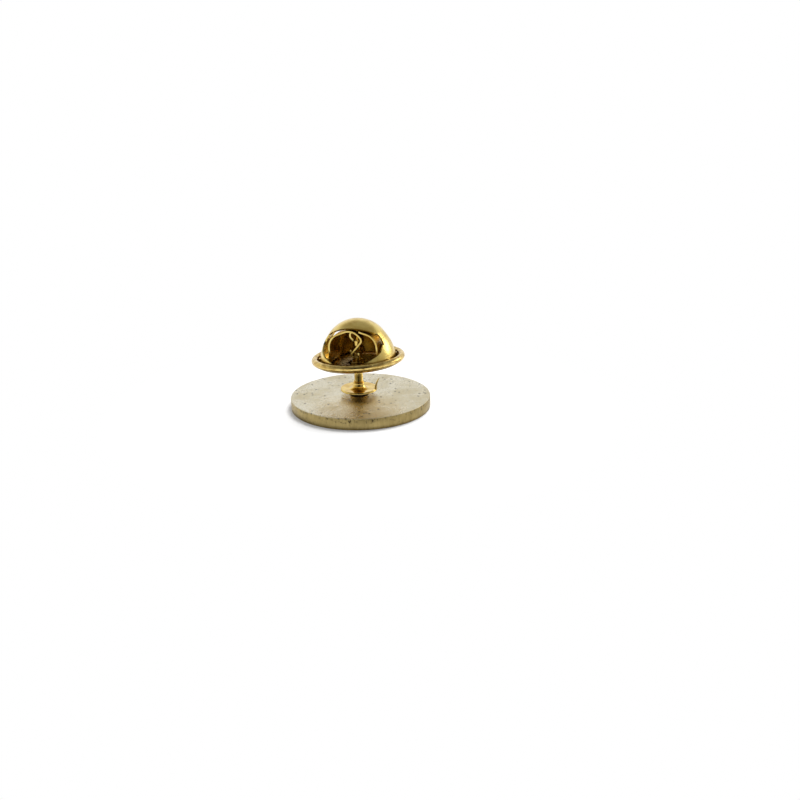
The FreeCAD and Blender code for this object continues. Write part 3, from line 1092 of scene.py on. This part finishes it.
class Clutch:
    """The butterfly clutch: cup, eyelet and the bell spring with its jaws."""

    PIVOT = 1.3

    def __init__(self, cup: CupSize, spring: SpringSize, jaw: JawSize, palette: Palette) -> None:
        """Keep the sizes and find the clutch's own frame from the joints.

        Args:
            cup: The cup's sizes.
            spring: The spring's sizes.
            jaw: The jaws' path.
            palette: The finishes.
        """
        self.cup = cup
        self.spring = spring
        self.jaw = jaw
        self.palette = palette
        joints = {joint["name"]: joint for joint in frame["joints"]}
        up = Vector(joints["clutch_spin"]["axis"]).normalized()
        back = -Vector(joints["pinch_left"]["axis"]).normalized()
        right = back.cross(up)
        origin = Vector(joints["clutch_spin"]["pos_m"]) - up * self.PIVOT * MM
        turn = Matrix((right, back, up)).transposed().to_4x4()
        self.place = Matrix.Translation(origin) @ turn

    def build(self) -> list[bpy.types.Object]:
        """Make the clutch's pieces.

        Returns:
            The new pieces.
        """
        shell = self.shell()
        made = {
            "clutch_cup": (self.dish(), Slot.CLUTCH, Body.CLUTCH),
            "clutch_eyelet": (self.eyelet(), Slot.CLUTCH, Body.EYELET),
            "spring_crown": (self.crown(shell), Slot.SPRING, Body.CLUTCH),
            "spring_wing_left": (self.wing(shell, 0), Slot.SPRING, Body.LEFT),
            "spring_wing_right": (self.wing(shell, 180), Slot.SPRING, Body.RIGHT),
        }
        bpy.data.objects.remove(shell)
        for node, (piece, slot, body) in made.items():
            put(piece, self.place)
            self.palette.dress(piece, slot)
            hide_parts(node)
            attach(piece, body.value)
        return [row[0] for row in made.values()]

    def dish(self) -> bpy.types.Object:
        """The cup with its rolled rim and grip pips.

        Returns:
            The cup.
        """
        size = self.cup
        centre = (size.radius - size.roll, size.rim - size.roll)
        inner = size.roll - size.sheet
        start = size.flank - 90
        slope = math.tan(math.radians(size.flank))
        outer_roll = arc(centre, size.roll, start, size.roll_end, 28)
        inner_roll = arc(centre, inner, size.roll_end, start, 12)
        floor_out = (outer_roll[0][0] - outer_roll[0][1] / slope, 0)
        floor_in = (inner_roll[-1][0] - (inner_roll[-1][1] - size.sheet) / slope, size.sheet)
        profile = [(size.hole, 0), floor_out] + outer_roll + inner_roll + [floor_in, (size.hole, size.sheet)]
        piece = lathe("rolled_cup", profile, True, 192)
        ball = (size.pip ** 2 + size.pip_height ** 2) / (2 * size.pip_height)
        for index in range(size.pips):
            angle = 2 * math.pi * index / size.pips
            brim = math.degrees(math.asin(size.pip / ball)) - 90
            outline = [(0, size.sheet / 2), (size.pip, size.sheet / 2), (size.pip, 0)]
            outline += arc((0, ball - size.pip_height), ball, brim, -90, 6)[1:]
            cap = lathe("pip", outline, False, 32)
            around = (size.pip_circle * math.cos(angle) * MM, size.pip_circle * math.sin(angle) * MM, 0)
            combine(piece, put(cap, Matrix.Translation(around)), "UNION")
        return smooth(piece, 32)

    def eyelet(self) -> bpy.types.Object:
        """The flanged bush that runs on the post.

        Returns:
            The eyelet.
        """
        size = self.cup
        edge = size.barrel + size.flange
        under, over = -size.seat, size.sheet + size.seat
        bottom, top = under - size.flange_sheet, over + size.flange_sheet
        profile = [(size.bore, bottom), (edge, bottom), (edge, under), (size.barrel, under)]
        profile += [(size.barrel, over), (edge, over), (edge, top), (size.bore, top)]
        return smooth(soften(lathe("flanged_eyelet", profile, True, 96), 0.05, 50))

    def shell(self) -> bpy.types.Object:
        """The whole bell with its windows and foot lips, before it is split.

        Returns:
            The bell.
        """
        size = self.spring
        centre = (0, size.centre)
        foot = (size.foot, size.foot_height)
        foot_in = (size.foot - size.sheet, size.foot_height)
        lean = math.degrees(math.atan2(size.shoulder[1] - size.centre, size.shoulder[0]))
        outer = arc(centre, size.crown, 90, lean, 36)
        inner = arc(centre, size.crown - size.sheet, lean, 90, 36)
        profile = outer[:-1] + through(outer[-1], self.swell(outer[-1], foot, size.bulge), foot, 20)
        profile += through(foot_in, self.swell(inner[0], foot_in, size.bulge), inner[0], 20) + inner[1:]
        bell = lathe("bell", profile, False, 224)
        near, far = foot_in[0] + 0.05, size.foot + size.lip
        low, high = size.foot_height, size.foot_height + size.sheet
        lip = [(near, low), (far, low), (far, high), (near, high)]
        ring = lathe("lip", lip, True, 224)
        half = size.jaw / 2 + size.play
        combine(ring, slab("notch", (-9, -half, 0), (9, half, size.height)), "DIFFERENCE")
        combine(bell, ring, "UNION")
        for side in (1, -1):
            combine(bell, self.window(side), "DIFFERENCE")
        return bell

    def swell(self, shoulder: Point, foot: Point, bulge: float) -> Point:
        """Middle of the flank, bulged out from the straight line between its ends.

        Args:
            shoulder: The flank's upper end.
            foot: Its lower end.
            bulge: How far it bulges out.

        Returns:
            The middle point.
        """
        across, down = foot[0] - shoulder[0], shoulder[1] - foot[1]
        share = bulge / math.hypot(across, down)
        return ((shoulder[0] + foot[0]) / 2 + share * down, (shoulder[1] + foot[1]) / 2 + share * across)

    def window(self, side: int) -> bpy.types.Object:
        """The pyramid that cuts one window square to the sheet.

        Args:
            side: 1 for the front window, -1 for the back.

        Returns:
            The cutting tool.
        """
        size = self.spring
        half = through(size.corner, size.side, size.waist, 8)
        half += through(size.low, size.bend, size.sill, 8) + [(size.sill[0], size.below)]
        mirrored = [(-x, z) for x, z in reversed(half)]
        top = through((-size.corner[0], size.corner[1]), (0, size.dip), size.corner, 24)[1:-1]
        near, far = 0.5, 6.0
        points = [(side * x * near, -side * near, size.centre + z * near) for x, z in half + mirrored + top]
        tool = draw("window", points, True)
        bpy.ops.mesh.edge_face_add()
        bpy.ops.mesh.extrude_region_move()
        apex = (0, 0, size.centre * MM)
        bpy.ops.transform.resize(value=[far / near] * 3, center_override=apex)
        return tidy(tool)

    def crown(self, shell: bpy.types.Object) -> bpy.types.Object:
        """The arched middle of the spring.

        Args:
            shell: The whole bell.

        Returns:
            The crown.
        """
        piece = duplicate(shell, "arched_crown")
        for side in (1, -1):
            up = self.hinge_plane(side)
            point = Vector((0, 0, self.spring.centre)) + up * self.spring.gap / 2
            slice_off(piece, tuple(point), -up)
        soften(piece, self.spring.crease, 60)
        return smooth(combine(piece, self.leaf(), "UNION"), 32)

    def leaf(self) -> bpy.types.Object:
        """The sheet that hangs from the crown and closes the bell behind the jaws.

        Returns:
            The leaf.
        """
        size = self.spring
        centre, radius = (0, size.centre), size.crown - size.sheet * 0.8
        outer = arc(centre, radius, 64, 38, 12)
        inner = arc(centre, radius - size.sheet, 38, 64, 12)
        foot = (size.foot - size.leaf_inset, size.foot_height)
        foot_in = (foot[0] - size.sheet, foot[1])
        profile = outer[:-1] + through(outer[-1], self.swell(outer[-1], foot, size.leaf_bulge), foot, 16)
        profile += through(foot_in, self.swell(inner[0], foot_in, size.leaf_bulge), inner[0], 16) + inner[1:]
        leaf = lathe("leaf", profile, True, 192)
        pane = self.window(-1)
        put(pane, self.grown(size.leaf_lap))
        combine(leaf, pane, "INTERSECT")
        return combine(leaf, slab("front", (-9, -9, -9), (9, size.leaf_side, 9)), "DIFFERENCE")

    def grown(self, share: float) -> Matrix:
        """Widen a shape about the bell's centre without moving it front to back.

        Args:
            share: How much wider and taller it gets.

        Returns:
            The change of size.
        """
        centre = Vector((0, 0, self.spring.centre * MM))
        widen = Matrix.Diagonal((share, 1, share, 1))
        return Matrix.Translation(centre) @ widen @ Matrix.Translation(-centre)

    def hinge_plane(self, side: int) -> Vector:
        """Upward normal of the plane where one wing meets the crown.

        Args:
            side: 1 for the right wing, -1 for the left.

        Returns:
            The normal.
        """
        angle = math.radians(self.spring.hinge)
        return Vector((-side * math.sin(angle), 0, math.cos(angle)))

    def wing(self, shell: bpy.types.Object, turn: float) -> bpy.types.Object:
        """One wing with its jaw: the left one, turned about the post for the right.

        Args:
            shell: The whole bell.
            turn: How far to turn it, in degrees.

        Returns:
            The wing.
        """
        piece = duplicate(shell, f"flared_wing_{round(turn)}")
        up = self.hinge_plane(-1)
        point = Vector((0, 0, self.spring.centre)) - up * self.spring.gap / 2
        slice_off(piece, (0, 0, 0), Vector((1, 0, 0)))
        slice_off(piece, tuple(point), up)
        soften(piece, self.spring.crease, 60)
        combine(piece, self.curl(), "UNION")
        smooth(piece, 32)
        return put(piece, Matrix.Rotation(math.radians(turn), 4, "Z"))

    def curl(self) -> bpy.types.Object:
        """The jaw of the left wing: foot, leg, arch and hooked tongue.

        Returns:
            The jaw.
        """
        size, jaw = self.spring, self.jaw
        leg = -(size.foot - jaw.inset)
        points = [
            (-size.foot + 0.36, size.foot_height + 0.5),
            (-size.foot + size.sheet, jaw.foot_height),
            (leg, jaw.foot_height),
            (leg, size.height - jaw.leg_drop),
            (jaw.arch[0], size.height - jaw.arch[1]),
            (jaw.elbow[0], size.height - jaw.elbow[1]),
            (-jaw.hook_reach, jaw.hook[1] + jaw.hook_dip),
            jaw.hook,
            (jaw.hook[0], jaw.hook[1] + jaw.hook_rise),
        ]
        half = size.jaw / 2
        path = rounded(points, list(jaw.bends), 10)
        piece = draw("jaw", [(x, -half, z) for x, z in path], False)
        bpy.ops.mesh.extrude_edges_move(TRANSFORM_OT_translate={"value": (0, size.jaw * MM, 0)})
        tidy(piece)
        apply(piece, "SOLIDIFY", thickness=size.sheet * MM, offset=0, use_even_offset=True)
        inner = half - size.tongue
        slot = slab("slot", (-jaw.slot, -inner, -1), (7, half + 1, size.height))
        top = jaw.hook[1] + jaw.hook_rise + size.sheet
        plate = slab("plate", (jaw.hook[0] - 0.18, -3, jaw.hook[1] + jaw.plate[0]), (8, half - jaw.plate[1], top))
        cut = combine(slot, plate, "DIFFERENCE")
        return soften(combine(piece, cut, "DIFFERENCE"), size.jaw_edge, 50)


def duplicate(piece: bpy.types.Object, name: str) -> bpy.types.Object:
    """A copy of an object with its own mesh.

    Args:
        piece: The object.
        name: The copy's name.

    Returns:
        The copy.
    """
    made = bpy.data.objects.new(name, piece.data.copy())
    bpy.context.scene.collection.objects.link(made)
    return made


# ---- studio


@dataclass(frozen=True)
class CameraSize:
    """The camera's place and lens."""

    place: tuple[float, float, float] = (0.0, -0.12276, 0.04429)
    right: tuple[float, float, float] = (0.99880, -0.04664, -0.01479)
    up: tuple[float, float, float] = (0.02955, 0.33410, 0.94207)
    lens: float = 45.12


@dataclass(frozen=True)
class Softbox:
    """An area light: its place, size and power, and whether polished metal mirrors it."""

    name: str
    place: tuple[float, float, float]
    size: tuple[float, float]
    power: float
    mirrored: bool


class Studio:
    """Floor, surroundings, lights and camera."""

    LIGHTS = (
        Softbox("key_light", (0.07, 0.10, 0.24), (0.12, 0.12), 0.74, False),
        Softbox("right_light", (0.22, 0.10, 0.08), (0.10, 0.10), 0.10, True),
    )
    CARD = (0.0, -0.966, 0.259)

    def __init__(self, camera: CameraSize) -> None:
        """Keep the camera's sizes.

        Args:
            camera: The camera's place and lens.
        """
        self.camera = camera

    def build(self) -> None:
        """Set up everything round the pin."""
        self.floor()
        self.surroundings()
        for light in self.LIGHTS:
            self.softbox(light)
        self.place_camera()
        bpy.context.scene.view_settings.view_transform = "Standard"

    def floor(self) -> None:
        """A wide floor that keeps the pin's shadow and turns white away from it."""
        deselect()
        bpy.ops.mesh.primitive_plane_add(size=3.0)
        sheet = bpy.context.object
        sheet.name = "floor"
        bench = Bench(bpy.data.materials.new("floor"))
        seen = bench.node("ShaderNodeLightPath", "Is Camera Ray", {}, {})
        seen = seen + seen.beside("Is Glossy Ray") + seen.beside("Is Transmission Ray")
        far = bench.place().length().between(16, 34)
        paper = bench.node("ShaderNodeBsdfDiffuse", 0, {}, {"Color": (0.94, 0.94, 0.94, 1)})
        white = bench.node("ShaderNodeEmission", 0, {}, {"Color": (1, 1, 1, 1), "Strength": 1.0})
        share = seen * (0.2 + 0.8 * far)
        sheet.data.materials.append(bench.finish(bench.mix(share, paper, white)))

    def surroundings(self) -> None:
        """White to the camera; to the metal white behind, dimmer above, with a dark card in front."""
        bench = Bench(bpy.data.worlds.new("studio"))
        way = bench.node("ShaderNodeTexCoord", "Generated", {}, {})
        behind = way.dot((0, 1, 0)).between(-0.7, 0.5)
        above = way.dot((0, 0, 1)).between(0.38, 0.72)
        card = way.dot(self.CARD).between(0.84, 0.93)
        level = (0.35 + 0.65 * behind) * (1 - 0.6 * above) * (1 - 0.93 * card)
        lit = bench.node("ShaderNodeBackground", 0, {}, {"Color": (1, 1, 1, 1), "Strength": level})
        white = bench.node("ShaderNodeBackground", 0, {}, {"Color": (1, 1, 1, 1), "Strength": 1.0})
        camera = bench.node("ShaderNodeLightPath", "Is Camera Ray", {}, {})
        bpy.context.scene.world = bench.finish(bench.mix(camera, lit, white))

    def softbox(self, light: Softbox) -> None:
        """Hang one light, facing the pin.

        Args:
            light: The light's settings.
        """
        data = bpy.data.lights.new(light.name, "AREA")
        data.shape = "RECTANGLE"
        data.size, data.size_y = light.size
        data.energy = light.power
        lamp = bpy.data.objects.new(light.name, data)
        bpy.context.scene.collection.objects.link(lamp)
        lamp.visible_glossy = light.mirrored
        lamp.location = light.place
        aim = Vector((0, 0, 0.004)) - Vector(light.place)
        lamp.rotation_euler = aim.to_track_quat("-Z", "Y").to_euler()

    def place_camera(self) -> None:
        """Put the camera at the viewing angle."""
        data = bpy.data.cameras.new("camera")
        data.lens = self.camera.lens
        data.sensor_width = 36.0
        data.clip_start = 0.001
        camera = bpy.data.objects.new("camera", data)
        bpy.context.scene.collection.objects.link(camera)
        right, up = Vector(self.camera.right).normalized(), Vector(self.camera.up).normalized()
        back = right.cross(up)
        turn = Matrix((right, back.cross(right), back)).transposed().to_4x4()
        camera.matrix_world = Matrix.Translation(self.camera.place) @ turn
        bpy.context.scene.camera = camera


def main() -> None:
    """Build the pin's looks and its studio in order."""
    logging.basicConfig(level=logging.INFO, format="%(name)s: %(message)s")
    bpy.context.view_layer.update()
    palette = Palette()
    groups = [
        Badge(BadgeSize(), palette),
        PostGroup(PostSize(), WasherSize(), palette),
        Clutch(CupSize(), SpringSize(), JawSize(), palette),
    ]
    for group in groups:
        for piece in group.build():
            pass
    Studio(CameraSize()).build()


if __name__ == "__main__":
    main()
